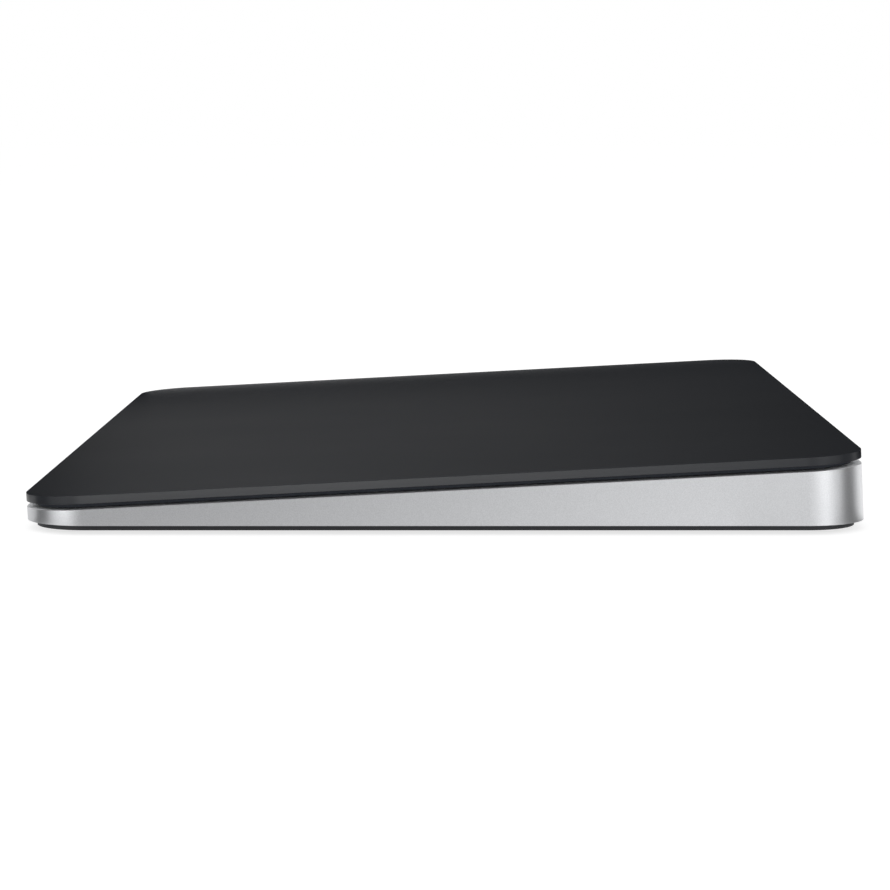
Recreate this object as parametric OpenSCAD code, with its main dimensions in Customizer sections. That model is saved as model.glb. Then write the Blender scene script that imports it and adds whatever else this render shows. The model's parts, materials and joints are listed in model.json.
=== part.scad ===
// Wireless desk trackpad: a thin aluminium wedge that carries a floating black glass touch plate.
// The plate stands on gel pads at the tips of four strain-gauge leaves, which let it sink a little
// under a finger, and a haptic engine under the deck taps it sideways.
// Millimetres, +Z up, +Y towards the thick rear edge, origin on the table under the part's middle.

/* [Touch plate] */
// Width of the glass, left to right
plate_w = 160; // [150:1:180]
// Depth of the glass, front to rear along its slope
plate_d = 114.5; // [108:0.5:130]
// Radius of the four plan corners
corner_r = 8.5; // [6:0.5:11]
// Thickness of the glass
glass_t = 1.15; // [0.8:0.05:1.4]
// Thickness of the bond film under the glass
film_t = 0.07; // [0.05:0.01:0.15]
// Thickness of the touch sensor board
board_t = 0.48; // [0.4:0.02:0.7]
// Inset of the sensor board from the glass edge
board_inset = 1.4; // [1:0.1:2.5]
// Distance of the sensor board's connector behind the plate's middle
sensor_back = 8; // [6:0.5:10]
// Width of the sensor board's connector
sensor_plug_w = 10; // [8:0.5:12]
// Depth of the sensor board's connector
sensor_plug_d = 2.6; // [2:0.1:3.5]
// Height of the sensor board's connector
sensor_plug_h = 0.7; // [0.5:0.05:0.9]
// Side of the touch controller chip
controller_w = 6; // [4:0.5:7]
// Thickness of the touch controller chip
controller_t = 0.75; // [0.5:0.05:1]
// Gap between the touch controller and the connector
controller_gap = 2.5; // [1:0.5:3]

/* [Wedge] */
// Height of the glass top at the front edge
front_h = 4.9; // [4.5:0.1:6]
// Height of the glass top at the rear edge
back_h = 10.9; // [9.9:0.1:13]

/* [Housing] */
// Thickness of the side, front and rear walls
wall_t = 3; // [2.6:0.1:3.5]
// Thickness of the deck under the touch plate
deck_t = 1.1; // [0.9:0.05:1.3]
// Width of the deck's window over the sensor connector
window_w = 34; // [30:1:38]
// Depth of that window
window_d = 9; // [8:0.5:11]
// Corner radius of the deck's windows
window_r = 1; // [0.5:0.1:2]

/* [Bottom cover] */
// Thickness of the bottom cover
cover_t = 0.65; // [0.5:0.05:0.9]
// Inset of the bottom cover from the housing edge
cover_inset = 1.3; // [0.8:0.1:1.6]
// Thickness of the adhesive seal between cover and housing
seal_t = 0.12; // [0.08:0.01:0.2]
// Width of the adhesive seal
seal_w = 1.2; // [0.8:0.1:1.3]
// Height of the locating rib above the housing's lower edge
rib_h = 0.2; // [0.1:0.05:0.3]
// Width of the locating rib
rib_w = 0.8; // [0.5:0.1:1.5]
// Clearance round the locating rib
rib_clear = 0.25; // [0.2:0.05:0.5]
// Height that the feet lift the cover off the table
foot_h = 0.48; // [0.3:0.02:0.8]
// Radius of a rubber foot
foot_r = 3.5; // [2.5:0.5:6]
// Chamfer of a foot's lower edge
foot_edge = 0.15; // [0.05:0.05:0.25]
// Distance of a foot's centre from the glass edges
foot_inset = 12; // [9:1:20]
// Depth of the recess that a foot is glued into
foot_recess = 0.25; // [0.15:0.05:0.35]

/* [Suspension] */
// Gap between the sensor board and the deck
run_gap = 0.22; // [0.2:0.01:0.4]
// Travel of the plate when pressed
press_travel = 0.15; // [0.05:0.01:0.16]
// Sideways travel of the plate from its middle
haptic_travel = 0.1; // [0.05:0.01:0.2]
// Radius of a gel pad
pad_r = 2.6; // [2:0.1:3]
// Clearance round a gel pad in the deck
pad_clear = 0.5; // [0.3:0.1:1]
// Length of a force leaf
leaf_l = 19; // [17:0.5:21]
// Width of a force leaf
leaf_w = 7; // [6.5:0.1:7.6]
// Thickness of a force leaf
leaf_t = 0.35; // [0.25:0.05:0.45]
// Gap from a leaf to the side and rear walls
leaf_gap = 1.5; // [1.3:0.1:2.5]
// Gap from a front leaf to the front wall
front_leaf_gap = 6.5; // [5:0.5:9]
// Spacing of the two screws at a leaf's root
leaf_screw_pitch = 3.8; // [3.6:0.1:4.2]
// Distance of those screws from the leaf's root end
leaf_screw_edge = 2.2; // [1.6:0.1:3]
// Length of a strain gauge
gauge_l = 5; // [4:0.5:6]
// Width of a strain gauge
gauge_w = 3; // [2:0.5:5]
// Thickness of a strain gauge
gauge_t = 0.1; // [0.05:0.01:0.12]
// Radius of a stop bumper under the plate
bumper_r = 2; // [1.5:0.1:2.5]
// Depth of a bumper's pocket in the deck
bumper_pocket = 0.5; // [0.3:0.05:0.6]
// Gap left between a bumper and the plate when it is pressed
bumper_gap = 0.02; // [0.01:0.01:0.05]
// Distance of the front and rear bumpers from the glass edge
bumper_edge = 9; // [7:0.5:12]
// Distance of those bumpers from the plate's middle
bumper_x = 38; // [34:1:44]
// Distance of the side bumpers from the glass edge
bumper_side = 6; // [5:0.5:9]

/* [Haptic engine] */
// Distance of the haptic engine in front of the plate's middle
haptic_forward = 14; // [13:0.5:17]
// Length of a core leg
leg_l = 30; // [26:1:34]
// Width of a core leg
leg_w = 4; // [3:0.5:4.5]
// Height of a core leg
leg_h = 1.1; // [0.8:0.1:1.2]
// Spacing of the core legs
leg_pitch = 6.4; // [6:0.1:7]
// Width of the core's spine
spine_w = 4; // [3:0.5:6]
// Thickness of a winding
coil_t = 0.5; // [0.3:0.05:0.55]
// Length of a winding
coil_l = 24; // [18:1:26]
// Clearance between a winding and its core leg
coil_clear = 0.08; // [0.05:0.01:0.12]
// Gap between the windings and the sensor board
coil_gap = 0.36; // [0.3:0.02:0.5]
// Least air gap between the poles and the steel rail, at the end of the sideways travel
air_gap = 0.35; // [0.2:0.05:0.6]
// Width of the steel rail under the sensor board
rail_w = 4; // [3:0.5:6]
// Thickness of the steel rail
rail_t = 0.5; // [0.4:0.05:0.6]
// Least gap between the rail and the tray's wall
rail_clear = 1.4; // [0.8:0.1:2]
// Gap between the core or windings and the tray's walls
core_clear = 1; // [0.5:0.1:1.5]
// Thickness of the tray's sheet steel
tray_t = 0.4; // [0.3:0.05:0.5]
// Width of the tray's two screw flanges
flange_w = 4; // [3.5:0.5:6]
// Distance of the flange screws from the tray's corners
flange_screw_edge = 3; // [2:0.5:5]

/* [Battery] */
// Width of a battery cell
cell_w = 46; // [40:1:48]
// Depth of a battery cell
cell_d = 36; // [30:1:38]
// Thickness of a battery cell
cell_t = 3.2; // [2.8:0.1:3.6]
// Plan corner radius of a battery cell
cell_r = 1.5; // [0.5:0.1:3]
// Thickness of the tape that holds a cell to the deck
tape_t = 0.15; // [0.1:0.01:0.3]
// Width of a strip of that tape
tape_w = 10; // [6:1:14]
// Gap between the tape and the cell's edges
tape_inset = 4; // [2:0.5:6]
// Free lane between a cell and the rear wall
rear_lane = 10.25; // [10:0.25:12]
// Free lane between a cell and the logic board
side_lane = 3.5; // [3:0.25:5]
// Width of a cell's protection board
guard_w = 2.3; // [1.8:0.1:2.6]
// Length of a cell's protection board
guard_l = 18; // [12:1:20]
// Thickness of a cell's protection board
guard_t = 0.8; // [0.6:0.1:1.2]
// Width of a battery lead
lead_w = 4; // [3:0.5:5]

/* [Logic board] */
// Width of the logic board
logic_w = 38; // [36:0.5:44]
// Depth of the logic board
logic_d = 38; // [37:0.5:42]
// Thickness of the logic board
logic_t = 0.8; // [0.6:0.1:1]
// Gap between the logic board and the rear wall
logic_gap = 0.75; // [0.5:0.05:1.5]
// Height of the bosses that hold the logic board below the deck
boss_h = 2.4; // [2.1:0.1:2.6]
// Radius of a boss
boss_r = 1.8; // [1.5:0.1:2.1]
// Distance from a boss to the board's edges
boss_edge = 0.7; // [0.1:0.1:1.2]
// Depth of metal left above a boss's tapped hole
boss_roof = 0.5; // [0.3:0.1:0.8]
// Height of the connectors on the board
plug_h = 1; // [0.6:0.1:1.3]
// Depth of a connector across its contacts
plug_d = 2.4; // [1.8:0.1:2.8]
// Length of a small connector
plug_l = 3; // [2:0.1:3.4]
// Length of a battery connector
battery_plug_l = 5; // [4:0.5:6]
// Distance of the front row of connectors from the board's front edge
plug_edge = 4; // [3:0.5:4.5]
// Distance of the side connectors from the board's side edges
side_plug_edge = 3.5; // [3:0.1:4]
// Distance of the first side connector from the board's front edge
side_plug_first = 7; // [6.5:0.5:8]
// Spacing from there to the battery connector
side_plug_pitch = 8; // [7:0.5:10]
// Distance of the haptic connector from the board's middle line
haptic_plug_x = 8; // [7.5:0.5:10]
// Distance of the switch connector from the board's middle line
switch_plug_x = 11; // [10:0.5:11.5]

/* [Board components] */
// Distance of the first row of components from the board's front edge
row_edge = 7; // [6.5:0.5:8]
// Gap between neighbouring components
part_gap = 1.4; // [0.8:0.1:1.8]
// Distance of the two columns of components from the board's middle line
column_x = 6.2; // [5.8:0.1:7]
// Side of the processor
processor_w = 9; // [7:0.5:9.5]
// Width of the memory chip
memory_w = 6; // [5:0.5:9]
// Depth of the memory chip
memory_d = 5; // [4:0.5:6]
// Side of the charger chip
charger_w = 4; // [3:0.5:5]
// Thickness of the chips
chip_t = 0.85; // [0.6:0.05:1.2]
// Width of the radio shield
shield_w = 10; // [8:0.5:11]
// Depth of the radio shield
shield_d = 11; // [9:0.5:13]
// Height of the radio shield
shield_h = 1.5; // [1.1:0.1:1.8]
// Sheet thickness of the radio shield
shield_t = 0.2; // [0.1:0.05:0.3]
// Side of the power inductor
inductor_w = 4; // [3:0.5:5]
// Height of the power inductor
inductor_h = 1.6; // [1:0.1:1.9]
// Number of capacitors in their row
capacitor_count = 8; // [4:1:8]
// Length of a capacitor
capacitor_l = 1; // [0.6:0.1:1.2]
// Width and height of a capacitor
capacitor_w = 0.5; // [0.3:0.1:0.6]
// Gap between capacitors
capacitor_gap = 0.6; // [0.3:0.1:0.7]

/* [Flexible circuits] */
// Thickness of the flexible circuits
flex_t = 0.12; // [0.08:0.01:0.16]
// Width of a narrow flexible circuit
flex_w = 1.6; // [1.2:0.1:2]
// Width of the tail that joins a gauge to its flexible circuit
tail_w = 1; // [0.6:0.1:1.1]
// Clearance between a flexible circuit and what it runs beside
flex_clear = 0.6; // [0.3:0.1:0.8]
// Width of the touch circuit and its plug
touch_plug_w = 9; // [7:0.5:10]
// Depth of the touch circuit's plug
touch_plug_d = 2.2; // [1.6:0.1:2.8]
// Height of the touch circuit's plug
touch_plug_h = 0.45; // [0.4:0.05:0.6]
// Gap left between that plug and the sensor connector when the plate is pressed
touch_plug_gap = 0.15; // [0.1:0.01:0.2]

/* [Antenna] */
// Length of the antenna strip inside the cover
antenna_l = 34; // [24:1:40]
// Width of the antenna strip
antenna_w = 5; // [3:0.5:6]
// Thickness of the antenna strip
antenna_t = 0.15; // [0.1:0.01:0.25]
// Length of strip past the contact pin
antenna_over = 3; // [2:0.5:4]
// Radius of the antenna's contact pin
pin_r = 0.6; // [0.4:0.1:0.8]
// Distance of the contact pin left of the board's middle line
pin_x = 11.5; // [10:0.5:12.5]
// Distance of the contact pin from the board's front edge
pin_edge = 3; // [2:0.5:4]

/* [Charge port] */
// Width of the port's mouth
mouth_w = 8.34; // [7.6:0.02:9]
// Height of the port's mouth
mouth_h = 2.56; // [2:0.02:2.8]
// Wall thickness of the port's steel shell
shell_t = 0.3; // [0.2:0.05:0.4]
// Length of the port's steel shell
shell_l = 7.4; // [6.8:0.1:8.5]
// Depth of the port's mouth below the rear wall
port_recess = 0.15; // [0.05:0.05:0.3]
// Wall thickness of the trim ring round the port
trim_t = 0.5; // [0.3:0.05:0.6]
// Length of the trim ring
trim_l = 2; // [1:0.1:2.4]
// Width of the port's tongue
tongue_w = 6.69; // [6:0.01:7]
// Length of the port's tongue
tongue_l = 4.6; // [4:0.1:5]
// Thickness of the port's tongue
tongue_t = 0.7; // [0.5:0.02:0.8]
// Length of the plug of plastic that closes the shell
insert_l = 1.6; // [1.2:0.1:1.8]
// Width of a contact on the tongue
contact_w = 0.25; // [0.15:0.01:0.35]
// Length of a contact on the tongue
contact_l = 3.4; // [2.5:0.1:3.8]
// Thickness of a contact on the tongue
contact_t = 0.04; // [0.02:0.01:0.06]
// Spacing of the contacts
contact_pitch = 0.5; // [0.4:0.01:0.52]
// Number of contacts on each face of the tongue
contact_count = 12; // [6:1:12]
// Width of a solder tab beside the shell
tab_w = 1.5; // [1:0.1:2]
// Length of a solder tab beside the shell
tab_l = 1.5; // [1:0.1:2]
// Thickness of a solder tab
tab_t = 0.3; // [0.2:0.05:0.4]
// Distance of the tabs from the shell's inner end
tab_edge = 1.2; // [0.8:0.1:1.6]

/* [Power switch] */
// Distance of the power switch from the middle of the rear wall
switch_x = 36; // [33:0.5:40]
// Travel of the slider
switch_travel = 2; // [1.5:0.1:2.5]
// Length of the slider's knob
knob_l = 4.6; // [4:0.1:6]
// Height of the slider's knob
knob_h = 2.2; // [1.6:0.1:2.6]
// Height that the knob stands out of the rear wall
knob_proud = 0.2; // [0.1:0.05:0.3]
// Clearance round the knob in its slot
knob_clear = 0.15; // [0.1:0.05:0.3]
// Thickness of the slider's flange
slider_t = 0.6; // [0.4:0.05:0.8]
// Clearance of the flange to the rear wall and to the switch housing
slider_gap = 0.1; // [0.08:0.01:0.15]
// Overlap of the flange past the slot's ends and edges
slider_over = 0.5; // [0.3:0.05:0.7]
// Thickness of the coloured flag on the flange
flag_t = 0.05; // [0.03:0.01:0.06]
// Width of the switch housing
switch_w = 11; // [9:0.5:12]
// Depth of the switch housing
switch_d = 3.6; // [3:0.1:4]
// Height of the switch housing
switch_h = 5; // [4.6:0.1:5.4]
// Width of the switch housing's two screw ears
ear_w = 3; // [2.8:0.1:3.4]
// Thickness of the ears
ear_t = 0.6; // [0.4:0.1:0.9]
// Width and height of the wiper peg
wiper_w = 1.2; // [0.8:0.1:1.5]
// Length of the wiper peg
wiper_l = 1.8; // [1.2:0.1:2.4]
// Clearance round the wiper peg
wiper_clear = 0.25; // [0.15:0.05:0.4]

/* [Fasteners] */
// Shank radius of the small screws
screw_r = 0.65; // [0.5:0.05:0.7]
// Head radius of the small screws
head_r = 1.2; // [1:0.05:1.25]
// Head height of the small screws
head_h = 0.45; // [0.3:0.05:0.5]
// Radius across the corners of a screw's hex socket
socket_r = 0.5; // [0.3:0.05:0.6]
// Depth of a screw's hex socket
socket_depth = 0.28; // [0.15:0.01:0.28]
// Depth of thread left free above a screw's tip
tip_gap = 0.2; // [0.1:0.05:0.4]
// Radial clearance of a shank in its tapped hole
thread_clear = 0.03; // [0.02:0.01:0.05]
// Radial clearance of a shank in a clearance hole
hole_clear = 0.15; // [0.1:0.05:0.25]
// Clearance between parts that slip together
slip = 0.05; // [0.03:0.01:0.08]

/* [Hidden] */
$fn = 96;

aluminium = "#c4c6c8";
black_glass = "#333436";
black_plastic = "#26272a";
steel = "#a9adb2";
dark_steel = "#5d6064";
circuit_green = "#1f4a36";
circuit_black = "#1b1c1f";
copper = "#b8743c";
amber_film = "#8a4b1c";
gold = "#c9a44a";
silver_foil = "#b7b9bd";
connector_white = "#e6e2d6";
gel_grey = "#d6d9db";
tape_white = "#f2f2ef";
ceramic_tan = "#b99a70";
flag_green = "#35b34a";

// Overshoot of a cut past the face that it opens
over = 1;

// Wedge: the plate leans by slope, and every piece above the cover is built in the plate's own frame,
// whose origin is the middle of the glass top and whose Z is square to the glass
slope = asin((back_h - front_h) / plate_d);
cover_top = foot_h + cover_t;
base_z = cover_top + seal_t;
plate_y = -(back_h - base_z) * tan(slope) / 2;
plate_z = (front_h + back_h) / 2;
base_d = plate_d / cos(slope);
base_y = plate_y + (plate_z - base_z) * tan(slope);
half_w = plate_w / 2;
half_d = plate_d / 2;
side_in = half_w - wall_t;
rear_in = half_d - wall_t;
below_all = back_h + wall_t;

// Levels in the plate's frame, from the glass down
film_z = -glass_t;
board_z = film_z - film_t;
board_under = board_z - board_t;
deck_z = board_under - run_gap;
under_z = deck_z - deck_t;
logic_z = under_z - boss_h;
logic_under = logic_z - logic_t;
plug_z = logic_z + plug_h;

// Suspension
pad_x = side_in - leaf_gap - leaf_w / 2;
rear_pad_y = rear_in - leaf_gap - leaf_w / 2;
front_pad_y = -rear_in + front_leaf_gap + leaf_w / 2;
pad_points = [for (y = [front_pad_y, rear_pad_y], x = [-1, 1]) [x * pad_x, y]];
leaf_root_x = pad_x + leaf_w / 2 - leaf_l;
leaf_screw_x = leaf_root_x + leaf_screw_edge;
leaf_under = under_z - leaf_t;
leaf_screw_points = [
    for (p = pad_points, s = [-1, 1]) [sign(p[0]) * leaf_screw_x, p[1] + s * leaf_screw_pitch / 2]
];
gauge_x = (leaf_screw_x + pad_x) / 2;
bumper_points = concat(
    [for (x = [-1, 1], y = [-1, 1]) [x * bumper_x, y * (half_d - bumper_edge)]],
    [for (x = [-1, 1]) [x * (half_w - bumper_side), 0]]
);
screw_reach = deck_t - tip_gap;

// Haptic engine, stacked down from the sensor board
leg_top = board_under - coil_gap - coil_t - coil_clear;
leg_z = leg_top - leg_h;
tray_floor = leg_z - coil_t - 2 * coil_clear;
tray_z = tray_floor - tray_t;
core_d = 2 * leg_pitch + leg_w;
rail_run = air_gap + rail_w + rail_clear + 2 * haptic_travel;
well_w = core_clear + spine_w + leg_l + rail_run;
well_d = core_d + 2 * (coil_t + coil_clear + core_clear);
core_x = -well_w / 2 + core_clear;
pole_x = core_x + spine_w + leg_l;
rail_x = pole_x + air_gap + haptic_travel;
tray_w = well_w + 2 * (tray_t + flange_w);
tray_d = well_d + 2 * tray_t;
tray_screw_points = [
    for (x = [-1, 1], y = [-1, 1])
        [x * (tray_w - flange_w) / 2, y * (tray_d / 2 - flange_screw_edge) - haptic_forward]
];

// Battery
cell_in = logic_w / 2 + side_lane;
cell_rear = rear_in - rear_lane;
cell_front = cell_rear - cell_d;
cell_mid_x = cell_in + cell_w / 2;
cell_mid_y = cell_rear - cell_d / 2;
cell_z = under_z - tape_t;

// Logic board and the places of its connectors
logic_rear = rear_in - logic_gap;
logic_front = logic_rear - logic_d;
boss_x = logic_w / 2 - boss_edge - boss_r;
boss_points = [
    for (x = [-1, 1], y = [logic_front + boss_edge + boss_r, logic_rear - boss_r]) [x * boss_x, y]
];
side_plug_x = logic_w / 2 - side_plug_edge;
touch_plug = [0, logic_front + plug_edge];
haptic_plug = [haptic_plug_x, logic_front + plug_edge];
front_gauge_plug = [side_plug_x, logic_front + side_plug_first];
battery_plug = [side_plug_x, front_gauge_plug[1] + side_plug_pitch];

// Lanes that the flexible circuits follow
lane_x = logic_w / 2 + side_lane / 2;
lane_y = cell_front - flex_clear - flex_w;
lane_front_x = tray_w / 2 + flex_clear + flex_w;
tail_end = leaf_root_x - slip;
leaf_lane_x = tail_end - flex_t - flex_w / 2;
rear_lane_y = cell_rear + flex_clear + flex_w / 2;
rear_gauge_plug = [side_plug_x, rear_lane_y];
switch_plug = [switch_plug_x, rear_lane_y + flex_w + flex_clear];
flex_z = board_under - sensor_plug_h - press_travel - touch_plug_gap - touch_plug_h;
path_z = under_z - flex_t;

// Charge port, level with the middle of the logic board
port_z = logic_z - logic_t / 2;
shell_w = mouth_w + 2 * shell_t;
shell_h = mouth_h + 2 * shell_t;
shell_rear = half_d - port_recess;
shell_front = shell_rear - shell_l;
port_hole_w = shell_w + 2 * (trim_t + 2 * slip);
port_hole_h = shell_h + 2 * (trim_t + 2 * slip);

// Power switch, drawn with its slider at the off end
slot_l = knob_l + switch_travel + 2 * knob_clear;
slot_h = knob_h + 2 * knob_clear;
slider_rear = rear_in - slider_gap;
slider_front = slider_rear - slider_t;
slider_l = slot_l + switch_travel + 2 * slider_over;
slider_h = slot_h + 2 * slider_over;
slider_x = switch_x - switch_travel / 2;
switch_rear = slider_front - slider_gap;
switch_y = switch_rear - switch_d / 2;
switch_screw_points = [for (s = [-1, 1]) [switch_x + s * (switch_w + ear_w) / 2, switch_y]];

// Antenna, bonded inside the cover and touched by a pin under the logic board
antenna_top = cover_top + antenna_t;
pin_point = [-pin_x, logic_front + pin_edge];
antenna_x = -pin_x + antenna_over - antenna_l / 2;

foot_points = [
    for (x = [-1, 1], y = [-1, 1]) [x * (half_w - foot_inset), base_y + y * (half_d - foot_inset)]
];

// Places its children in the plate's leaning frame
module on_slope() translate([0, plate_y, plate_z]) rotate([slope, 0, 0]) children();

// Everything below a level height
module below(z)
    translate([-plate_w, -plate_d, z - below_all]) cube([2 * plate_w, 2 * plate_d, below_all]);

// Rectangle with round corners, centred
module rounded_rect(w, d, r) {
    square([w - 2 * r, d], center = true);
    square([w, d - 2 * r], center = true);
    for (x = [-1, 1], y = [-1, 1])
        translate([x * (w / 2 - r), y * (d / 2 - r)]) circle(r);
}

// Bar with round ends, centred
module stadium(l, h) {
    square([l - h, h], center = true);
    for (s = [-1, 1]) translate([s * (l - h) / 2, 0]) circle(h / 2);
}

// Plate with round corners between two heights
module slab(w, d, r, low, high)
    translate([0, 0, low]) linear_extrude(high - low) rounded_rect(w, d, r);

// Cuboid centred on a plan point, between two heights
module block(at, w, d, low, high)
    translate([at[0] - w / 2, at[1] - d / 2, low]) cube([w, d, high - low]);

// Round post on a plan point, between two heights
module post(at, r, low, high) translate([at[0], at[1], low]) cylinder(r = r, h = high - low);

// A profile drawn in X and Z, run along Y between two depths
module along_depth(x, z, from, to)
    translate([x, to, z]) rotate([90, 0, 0]) linear_extrude(to - from) children();

// Flat strip that follows a square-cornered path
module strip(path, w, low)
    translate([0, 0, low]) linear_extrude(flex_t)
        for (i = [0 : len(path) - 2]) {
            a = path[i];
            b = path[i + 1];
            translate([min(a[0], b[0]) - w / 2, min(a[1], b[1]) - w / 2])
                square([abs(a[0] - b[0]) + w, abs(a[1] - b[1]) + w]);
        }

// Screw driven upwards, with its head seated under the given height
module screw(at, z, grip)
    difference() {
        union() {
            post(at, head_r, z - head_h, z);
            post(at, screw_r, z - head_h, z + grip);
        }
        translate([at[0], at[1], z - head_h - over]) cylinder(r = socket_r, h = socket_depth + over, $fn = 6);
    }

// Touch plate
module inset_plate(low, high)
    slab(plate_w - 2 * board_inset, plate_d - 2 * board_inset, corner_r - board_inset, low, high);

module glass_top()
    color(black_glass) on_slope() slab(plate_w, plate_d, corner_r, film_z, 0);

module glass_bond_film()
    color(black_plastic) on_slope() inset_plate(board_z, film_z);

module touch_sensor_board()
    color(circuit_black) on_slope() inset_plate(board_under, board_z);

// Steel angle under the sensor board: its lip hangs in front of the core's poles
module haptic_rail()
    color(steel) on_slope() translate([rail_x, -core_d / 2 - haptic_forward, 0]) {
        translate([0, 0, board_under - rail_t]) cube([rail_w, core_d, rail_t]);
        translate([0, 0, leg_z]) cube([rail_t, core_d, board_under - leg_z]);
    }

module sensor_connector()
    color(connector_white) on_slope()
        block([0, sensor_back], sensor_plug_w, sensor_plug_d, board_under - sensor_plug_h, board_under);

module touch_controller()
    color(circuit_black) on_slope()
        block([-(sensor_plug_w + controller_w) / 2 - controller_gap, sensor_back],
              controller_w, controller_w, board_under - controller_t, board_under);

// Suspension
module gel_pads()
    color(gel_grey) on_slope() for (p = pad_points) post(p, pad_r, under_z, board_under);

module leaf_outline(p) {
    body_l = leaf_l - leaf_w / 2;
    translate([p[0] - sign(p[0]) * body_l / 2, p[1]]) square([body_l, leaf_w], center = true);
    translate(p) circle(leaf_w / 2);
}

module force_leaves()
    color(steel) on_slope() difference() {
        for (p = pad_points)
            translate([0, 0, leaf_under]) linear_extrude(leaf_t) leaf_outline(p);
        for (p = leaf_screw_points) post(p, screw_r + hole_clear, leaf_under - over, under_z + over);
    }

module strain_gauges()
    color(amber_film) on_slope() for (p = pad_points)
        block([sign(p[0]) * gauge_x, p[1]], gauge_l, gauge_w, leaf_under - gauge_t, leaf_under);

module leaf_screws()
    color(steel) on_slope() for (p = leaf_screw_points) screw(p, leaf_under, leaf_t + screw_reach);

module plate_bumpers()
    color(black_plastic) on_slope() for (p = bumper_points)
        post(p, bumper_r, deck_z - bumper_pocket, board_under - press_travel - bumper_gap);

// Housing: one machined wedge with a pocket below, a deck above and openings for what passes through
module housing_shell()
    difference() {
        on_slope() slab(plate_w, plate_d, corner_r, -below_all, deck_z);
        on_slope() slab(2 * side_in, 2 * rear_in, corner_r - wall_t, -below_all - over, under_z);
        below(base_z);
    }

module deck_window(y, w, d)
    translate([0, y, 0]) slab(w, d, window_r, under_z - over, deck_z + over);

module housing()
    color(aluminium) difference() {
        union() {
            housing_shell();
            on_slope() for (p = boss_points) post(p, boss_r, logic_z, under_z + deck_t / 2);
        }
        on_slope() {
            deck_window(-haptic_forward, well_w, well_d);
            deck_window(sensor_back, window_w, window_d);
            for (p = pad_points) post(p, pad_r + pad_clear, under_z - over, deck_z + over);
            for (p = concat(leaf_screw_points, tray_screw_points, switch_screw_points))
                post(p, screw_r + thread_clear, under_z - over, deck_z + over);
            for (p = boss_points) post(p, screw_r + thread_clear, logic_z - over, under_z - boss_roof);
            for (p = bumper_points) post(p, bumper_r + slip, deck_z - bumper_pocket, deck_z + over);
            along_depth(0, port_z, rear_in - over, half_d + over) stadium(port_hole_w, port_hole_h);
            along_depth(switch_x, port_z, rear_in - over, half_d + over) stadium(slot_l, slot_h);
        }
    }

// Bottom cover, level with the table
module cover_plan(inset)
    translate([0, base_y]) rounded_rect(plate_w - 2 * inset, base_d - 2 * inset, corner_r - inset);

module bottom_cover()
    color(black_plastic) difference() {
        union() {
            translate([0, 0, foot_h]) linear_extrude(cover_t) cover_plan(cover_inset);
            translate([0, 0, cover_top]) linear_extrude(seal_t + rib_h) difference() {
                cover_plan(wall_t + rib_clear);
                cover_plan(wall_t + rib_clear + rib_w);
            }
        }
        for (p = foot_points) post(p, foot_r + slip, foot_h - over, foot_h + foot_recess);
    }

module cover_seal()
    color(black_plastic) translate([0, 0, cover_top]) linear_extrude(seal_t) difference() {
        cover_plan(wall_t - slip - seal_w);
        cover_plan(wall_t - slip);
    }

module feet()
    color(black_plastic) for (p = foot_points) {
        translate([p[0], p[1], 0]) cylinder(r1 = foot_r - foot_edge, r2 = foot_r, h = foot_edge);
        post(p, foot_r, foot_edge, foot_h + foot_recess);
    }

// Haptic engine
module haptic_tray()
    color(steel) on_slope() difference() {
        translate([0, -haptic_forward, 0]) difference() {
            union() {
                block([0, 0], tray_w, tray_d, under_z - tray_t, under_z);
                block([0, 0], well_w + 2 * tray_t, tray_d, tray_z, under_z);
            }
            block([0, 0], well_w, well_d, tray_floor, under_z + over);
        }
        for (p = tray_screw_points) post(p, screw_r + hole_clear, under_z - tray_t - over, under_z + over);
    }

module haptic_core()
    color(dark_steel) on_slope() translate([core_x, -haptic_forward, 0]) {
        translate([0, -core_d / 2, tray_floor]) cube([spine_w, core_d, leg_top - tray_floor]);
        for (i = [-1 : 1])
            translate([0, i * leg_pitch - leg_w / 2, leg_z]) cube([spine_w + leg_l, leg_w, leg_h]);
    }

module haptic_coils() {
    coil_x = core_x + spine_w + (leg_l - coil_l) / 2;
    bore_w = leg_w + 2 * coil_clear;
    bore_h = leg_h + 2 * coil_clear;
    color(copper) on_slope() for (i = [-1 : 1])
        translate([coil_x, i * leg_pitch - haptic_forward, leg_z + leg_h / 2])
            rotate([90, 0, 90]) linear_extrude(coil_l) difference() {
                rounded_rect(bore_w + 2 * coil_t, bore_h + 2 * coil_t, coil_t);
                square([bore_w, bore_h], center = true);
            }
}

module haptic_screws()
    color(steel) on_slope() for (p = tray_screw_points) screw(p, under_z - tray_t, tray_t + screw_reach);

// Battery
module battery_cell(side)
    color(silver_foil) on_slope() translate([side * cell_mid_x, cell_mid_y, 0])
        slab(cell_w, cell_d, cell_r, cell_z - cell_t, cell_z);

module battery_cell_left() battery_cell(-1);

module battery_cell_right() battery_cell(1);

module battery_tape() {
    spread = (cell_w - tape_w) / 2 - tape_inset;
    color(tape_white) on_slope() for (side = [-1, 1], end = [-1, 1])
        block([side * cell_mid_x + end * spread, cell_mid_y], tape_w, cell_d - 2 * tape_inset,
              cell_z, under_z);
}

module battery_guard_boards()
    color(circuit_green) on_slope() for (side = [-1, 1])
        block([side * (cell_in - guard_w / 2), battery_plug[1]], guard_w, guard_l, plug_z - guard_t, plug_z);

module battery_leads() {
    inner = battery_plug[0] - plug_d / 2;
    lead_l = cell_in - slip - inner;
    color(amber_film) on_slope() for (side = [-1, 1])
        block([side * (inner + lead_l / 2), battery_plug[1]], lead_l, lead_w, plug_z, plug_z + flex_t);
}

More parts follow.
